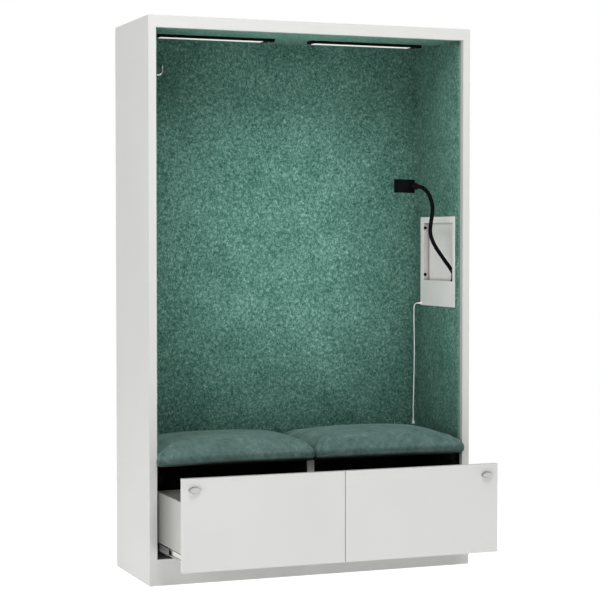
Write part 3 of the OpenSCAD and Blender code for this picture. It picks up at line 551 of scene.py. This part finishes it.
# Where the cover starts to hang in front of the board, over what run, and how high up it does so
EDGE_CLEAR = 0.001
HANG_LEAST = 0.001
HANG_RUN = 0.012
HANG_H = 0.035
# The hanging grows to its full amount in the outer part of the cushion
OUTER_START = 0.22
OUTER_RUN = 0.2
# The outer front corner swells in front of the felt as far as the panel
EAR = PANEL_X - FELT_X - SOFT_GAP
EAR_INSET = 0.03
EAR_RUN = 0.006
BULGE = 0.01
BULGE_REACH = 0.05
BULGE_RUN = 0.014
# The swelling rises from just below the board, and falls away from its shoulder up
BULGE_FOOT = -0.012
BULGE_RISE = 0.03
BULGE_SHOULDER = 0.02
BULGE_FALL = 0.034
BULGE_GAIN = 4
# It then laps over the panel's front edge with a rounded nose
NOSE = 0.006
NOSE_Z = SEAT_TOP_Z + 0.014
NOSE_H = 0.018
NOSE_ROUND = 0.007
NOSE_ROUND_CAP = 0.012
LAP_CLEAR = 0.0006
LAP_RUN = 0.004
REAR_CLEAR = 0.0005


def crown_share(x, y):
    """Share of the crown's height at a place: 1 in the middle and 0 at the edges."""
    across = 1 - min(1, abs(x / CUSHION_HALF_X)) ** CROWN_POWER
    along = 1 - min(1, abs(y / CUSHION_HALF_Y)) ** CROWN_POWER
    return across * along


def cushion_outline(half_x, half_y, radius, swell, steps=14, corner_steps=7):
    """Points round a rectangle with rounded corners. The outer front corner bulges out by swell."""
    ring = []
    for quarter in range(4):
        x = half_x - radius if quarter in (0, 3) else radius - half_x
        y = half_y - radius if quarter < 2 else radius - half_y
        next_x = half_x - radius if quarter in (2, 3) else radius - half_x
        next_y = half_y - radius if quarter in (0, 3) else radius - half_y
        for k in range(corner_steps + steps):
            turn = math.pi / 2 * (quarter + min(k, corner_steps) / corner_steps)
            along = max(k - corner_steps, 0) / steps
            bulge = 0.0
            if quarter == 3 and k <= corner_steps:
                bulge = swell * (1 + k / corner_steps) / 2
            ring.append((x + (next_x - x) * along + radius * math.cos(turn) + bulge,
                         y + (next_y - y) * along + radius * math.sin(turn)))
    return ring


def cushion_start(side):
    """The right-hand cushion's form before it is filled: the CAD form, a little wider and lower."""
    mesh = bmesh.new()
    rings = []
    edge = EDGE_H - EDGE_SHRINK
    crown = CROWN - CROWN_SHRINK
    for inset_mm, lift in SECTION:
        inset = inset_mm * MM
        outline = cushion_outline(
            CUSHION_HALF_X + SPREAD - inset, CUSHION_HALF_Y + SPREAD - inset,
            max(LEAST_R, CORNER_R - inset / 3), EAR * max(0, 1 - inset / EAR_INSET),
        )
        heights = [edge + crown * crown_share(x, y) for x, y in outline]
        rings.append([mesh.verts.new((x, y, h * lift)) for (x, y), h in zip(outline, heights)])
    count = len(rings[0])
    base = mesh.verts.new((0, 0, 0))
    middle = mesh.verts.new((0, 0, edge + crown))
    for k in range(count):
        n = (k + 1) % count
        mesh.faces.new((base, rings[0][n], rings[0][k]))
        mesh.faces.new((middle, rings[-1][k], rings[-1][n]))
        for low, high in zip(rings, rings[1:]):
            mesh.faces.new((low[k], low[n], high[n], high[k]))
    data = bpy.data.meshes.new("cushion_form_" + side)
    mesh.to_mesh(data)
    mesh.free()
    return data


def apply_modifiers(piece):
    """Makes the piece's modifiers part of its mesh."""
    with bpy.context.temp_override(object=piece, active_object=piece, selected_objects=[piece]):
        for modifier in list(piece.modifiers):
            bpy.ops.object.modifier_apply(modifier=modifier.name)


def fill(piece):
    """Fills the piece by cloth simulation. Its base stays flat, and no point moves past the cap."""
    remesh = piece.modifiers.new("voxels", "REMESH")
    remesh.mode = "VOXEL"
    remesh.voxel_size = VOXEL
    apply_modifiers(piece)
    start = [v.co.copy() for v in piece.data.vertices]
    pinned = piece.vertex_groups.new(name="pinned")
    pinned.add([i for i, co in enumerate(start) if co.z < FLAT_BELOW], 1.0, "REPLACE")
    cloth = piece.modifiers.new("cloth", "CLOTH")
    settings = cloth.settings
    settings.quality = 5
    settings.mass = 0.35
    settings.tension_stiffness = 12.0
    settings.compression_stiffness = 12.0
    settings.shear_stiffness = 6.0
    settings.bending_stiffness = 0.8
    settings.vertex_group_mass = "pinned"
    settings.use_pressure = True
    settings.uniform_pressure_force = PRESSURE
    settings.effector_weights.gravity = 0.0
    cloth.collision_settings.use_collision = False
    cloth.point_cache.frame_start = 1
    cloth.point_cache.frame_end = FILL_FRAMES
    for number in range(1, FILL_FRAMES + 1):
        bpy.context.scene.frame_set(number)
    apply_modifiers(piece)
    bpy.context.scene.frame_set(1)
    for vertex, old in zip(piece.data.vertices, start):
        move = vertex.co - old
        if move.length > SWELL_CAP:
            vertex.co = old + move * (SWELL_CAP / move.length)


def ease(past, run):
    """0 until past reaches 0, 1 once it reaches run, and smooth between."""
    share = min(1.0, max(0.0, past / run))
    return share * share * (3 - 2 * share)


def seated(co, drape):
    """Where a point of the right-hand cushion lies once the cushion is pushed into its place.

    In front of the board the cover hangs down a little, most at the outer end. The outer front
    corner fills the step in front of the felt and laps over the panel's front edge.
    """
    x, y, z = co
    ahead = ease(BOARD_FRONT_Y - EDGE_CLEAR - y, HANG_RUN)
    outer = ease(x - FELT_X + OUTER_START, OUTER_RUN)
    low = 1 - ease(z - CUSHION_Z, HANG_H)
    z -= low * ahead * (HANG_LEAST + (drape - HANG_LEAST) * outer)
    height = z - CUSHION_Z
    rise = ease(height - BULGE_FOOT, BULGE_RISE)
    fall = 1 - ease(height - BULGE_SHOULDER, BULGE_FALL)
    at_felt = ease(x - FELT_X + BULGE_REACH, BULGE_REACH)
    in_front = ease(FELT_FRONT_Y - y, BULGE_RUN)
    x += BULGE * at_felt * in_front * min(1, BULGE_GAIN * rise * fall)
    limit = FELT_X - 2 * SOFT_GAP
    if y < FELT_FRONT_Y - EDGE_CLEAR:
        limit += (EAR - SOFT_GAP) * ease(FELT_FRONT_Y - EDGE_CLEAR - y, EAR_RUN)
    if y < FRONT_Y - LAP_CLEAR:
        rounding = min(NOSE_ROUND_CAP, ((z - NOSE_Z) / NOSE_H) ** 2 * NOSE_ROUND)
        limit += (NOSE - rounding) * ease(FRONT_Y - LAP_CLEAR - y, LAP_RUN)
    floor = CUSHION_Z if y > BOARD_FRONT_Y - EDGE_CLEAR else CUSHION_Z - drape
    return Vector((min(max(x, SOFT_GAP), limit), min(y, FELT_BACK_Y - REAR_CLEAR), max(z, floor)))


def add_cushion(name, sign, drape):
    """One seat cushion, simulated in its own frame, laid on its board and mirrored for the left."""
    data = cushion_start(name)
    piece = bpy.data.objects.new("cushion_" + name, data)
    bpy.context.scene.collection.objects.link(piece)
    fill(piece)
    centre = Vector((SOFT_GAP + CUSHION_HALF_X, CUSHION_FRONT + CUSHION_HALF_Y, CUSHION_Z))
    for vertex in piece.data.vertices:
        place = seated(vertex.co + centre, drape)
        vertex.co = Vector((sign * place.x, place.y, place.z))
    if sign < 0:
        piece.data.flip_normals()
    subdivision = piece.modifiers.new("smooth", "SUBSURF")
    subdivision.levels = 1
    subdivision.render_levels = 1
    for polygon in piece.data.polygons:
        polygon.use_smooth = True
    piece.data.materials.append(LOOKS["upholstery"].material)
    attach(piece, "cabinet")
    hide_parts("seat_cushion_" + name)


# Phone arm

ARM_BASE = middle_of("arm_base")
ARM_REACH = 0.187
ARM_RISE = 0.322
FERRULE_GAP = 0.0003
FERRULE_L = 0.012
NECK_FOOT_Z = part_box("arm_base")[1][2] + FERRULE_GAP + FERRULE_L
NECK_START = Vector((ARM_BASE.x, ARM_BASE.y, NECK_FOOT_Z))
NECK_D = 0.0142
NECK_STEPS = 8
HOLDER = NECK_START + Vector((-ARM_REACH, 0, ARM_RISE))
HOLDER_YAW = math.radians(27.5)
# Where the bending arm ends beside the phone holder, after a short straight stretch
CONE_X = 0.045
CONE_Y = -0.008
END_FERRULE_L = 0.005
NECK_END_X = CONE_X + FERRULE_GAP + END_FERRULE_L
NECK_STRAIGHT = 0.008
# Points along the bending arm, as shares of its reach and of its rise
NECK_SHARES = [
    (0, 0, 0), (0, 0, 0.018), (-0.077, -0.003, 0.087), (-0.173, 0.003, 0.158), (-0.278, 0.013, 0.242),
    (-0.358, 0.029, 0.311), (-0.421, 0.04, 0.379), (-0.464, 0.051, 0.453), (-0.468, 0.061, 0.525),
    (-0.447, 0.072, 0.603), (-0.42, 0.082, 0.686), (-0.407, 0.093, 0.78), (-0.452, 0.104, 0.878),
    (-0.517, 0.12, 0.945), (-0.606, 0.13, 0.986),
]


def from_holder(x, y):
    """The place x across and y behind the middle of the turned phone holder."""
    c = math.cos(HOLDER_YAW)
    s = math.sin(HOLDER_YAW)
    return HOLDER + Vector((x * c - y * s, x * s + y * c, 0.0))


def tube(name, route, radius, sides=28):
    """A closed mesh tube along a route, with smooth shading along its sides."""
    mesh = bmesh.new()
    rings = []
    for i, place in enumerate(route):
        ahead = (route[min(i + 1, len(route) - 1)] - route[max(i - 1, 0)]).normalized()
        across = ahead.cross(Vector((0, 1, 0))).normalized()
        other = across.cross(ahead)
        rings.append([
            mesh.verts.new(place + radius * (across * math.cos(t) + other * math.sin(t)))
            for t in (2 * math.pi * k / sides for k in range(sides))
        ])
    for low, high in zip(rings, rings[1:]):
        for k in range(sides):
            n = (k + 1) % sides
            mesh.faces.new((low[k], low[n], high[n], high[k])).smooth = True
    mesh.faces.new(list(reversed(rings[0])))
    mesh.faces.new(rings[-1])
    bmesh.ops.recalc_face_normals(mesh, faces=mesh.faces)
    data = bpy.data.meshes.new(name)
    mesh.to_mesh(data)
    mesh.free()
    piece = bpy.data.objects.new(name, data)
    bpy.context.scene.collection.objects.link(piece)
    return piece


def add_neck():
    """The bending arm's rubber cover, on the CAD arm's route with finer steps."""
    points = [
        NECK_START + Vector((x * ARM_REACH, y * ARM_REACH, z * ARM_RISE)) for x, y, z in NECK_SHARES
    ]
    points += [from_holder(NECK_END_X + NECK_STRAIGHT, CONE_Y), from_holder(NECK_END_X, CONE_Y)]
    piece = tube("neck_cover", smooth_route(points, NECK_STEPS), NECK_D / 2)
    piece.data.materials.append(LOOKS["arm_rubber"].material)
    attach(piece, "arm")
    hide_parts("gooseneck")


# Light and floor

AREA_SIZE = 3.0
# Each light's name, place, target and power in watts
AREAS = [
    ("top", (0.0, -3.0, 5.0), (0.0, 0.0, 1.0), 210),
    ("left", (-4.0, -3.6, 1.5), (0.0, 0.0, 0.9), 54),
    ("side", (-4.2, 1.2, 1.5), (-0.6, 0.0, 1.0), 12),
    ("side_front", (-4.6, -1.4, 1.5), (-0.6, 0.0, 1.0), 38),
    ("right", (4.4, 0.9, 1.8), (0.6, 0.0, 1.0), 40),
    ("back", (0.6, 4.6, 2.4), (0.0, 0.2, 1.0), 60),
]
FLOOR_HALF = 40.0
FLOOR_WHITE = 0.93
FLOOR_GLOW = 0.97
# Distances from the cabinet's middle between which the floor turns to plain white for the camera
WHITER_FROM = 0.9
PLAIN_WHITE_FROM = 2.6
LEAST_WHITE_SHARE = 0.72


def math_node(tree, operation, first, second):
    """Output of a maths node on two outputs."""
    node = tree.nodes.new("ShaderNodeMath")
    node.operation = operation
    tree.links.new(first, node.inputs[0])
    tree.links.new(second, node.inputs[1])
    return node.outputs[0]


def range_node(tree, value, from_low, from_high, to_low, to_high):
    """Output of a node that maps a value from one range to another, without going past its ends."""
    node = tree.nodes.new("ShaderNodeMapRange")
    node.inputs["From Min"].default_value = from_low
    node.inputs["From Max"].default_value = from_high
    node.inputs["To Min"].default_value = to_low
    node.inputs["To Max"].default_value = to_high
    tree.links.new(value, node.inputs["Value"])
    return node.outputs["Result"]


def add_area(name, place, target, power):
    """A square light aimed at its target."""
    data = bpy.data.lights.new(name, "AREA")
    data.shape = "RECTANGLE"
    data.size = AREA_SIZE
    data.size_y = AREA_SIZE
    data.energy = power
    lamp = bpy.data.objects.new(name, data)
    lamp.location = place
    lamp.rotation_euler = (Vector(target) - Vector(place)).to_track_quat("-Z", "Y").to_euler()
    bpy.context.scene.collection.objects.link(lamp)


def add_world():
    """A white world that the camera and reflections see, and that gives no light of its own."""
    world = bpy.data.worlds.new("studio")
    bpy.context.scene.world = world
    world.use_nodes = True
    tree = world.node_tree
    back = tree.nodes["Background"]
    back.inputs["Color"].default_value = (1.0, 1.0, 1.0, 1.0)
    path = tree.nodes.new("ShaderNodeLightPath").outputs
    mirrored = math_node(tree, "ADD", path["Is Glossy Ray"], path["Is Transmission Ray"])
    seen = math_node(tree, "ADD", path["Is Camera Ray"], mirrored)
    tree.links.new(range_node(tree, seen, 0.0, 1.0, 0.0, 1.0), back.inputs["Strength"])


def add_floor():
    """A white floor with the cabinet's shadow, which turns to plain white further away."""
    data = bpy.data.meshes.new("floor")
    h = FLOOR_HALF
    data.from_pydata([(-h, -h, 0), (h, -h, 0), (h, h, 0), (-h, h, 0)], [], [(0, 1, 2, 3)])
    floor = bpy.data.objects.new("floor", data)
    bpy.context.scene.collection.objects.link(floor)
    material = bpy.data.materials.new("floor")
    material.use_nodes = True
    tree = material.node_tree
    tree.nodes.clear()
    new = tree.nodes.new
    diffuse = new("ShaderNodeBsdfDiffuse")
    diffuse.inputs["Color"].default_value = (FLOOR_WHITE, FLOOR_WHITE, FLOOR_WHITE, 1.0)
    glow = new("ShaderNodeEmission")
    glow.inputs["Strength"].default_value = FLOOR_GLOW
    lit = new("ShaderNodeAddShader")
    tree.links.new(diffuse.outputs[0], lit.inputs[0])
    tree.links.new(glow.outputs[0], lit.inputs[1])
    white = new("ShaderNodeEmission")
    white.inputs["Strength"].default_value = 1.0
    distance = new("ShaderNodeVectorMath")
    distance.operation = "LENGTH"
    tree.links.new(new("ShaderNodeTexCoord").outputs["Object"], distance.inputs[0])
    share = range_node(
        tree, distance.outputs["Value"], WHITER_FROM, PLAIN_WHITE_FROM, LEAST_WHITE_SHARE, 1.0,
    )
    to_camera = new("ShaderNodeLightPath").outputs["Is Camera Ray"]
    mix = new("ShaderNodeMixShader")
    tree.links.new(math_node(tree, "MULTIPLY", to_camera, share), mix.inputs["Fac"])
    tree.links.new(lit.outputs[0], mix.inputs[1])
    tree.links.new(white.outputs[0], mix.inputs[2])
    out = new("ShaderNodeOutputMaterial")
    tree.links.new(mix.outputs[0], out.inputs["Surface"])
    data.materials.append(material)


# Making

bpy.context.scene.view_settings.view_transform = "Standard"
add_camera()
add_lead(LOOKS["lead_sheath"].material)
dress_nodes()
add_cushion("left", -1.0, drape=0.006)
add_cushion("right", 1.0, drape=0.003)
add_neck()
add_world()
for area in AREAS:
    add_area(*area)
add_floor()
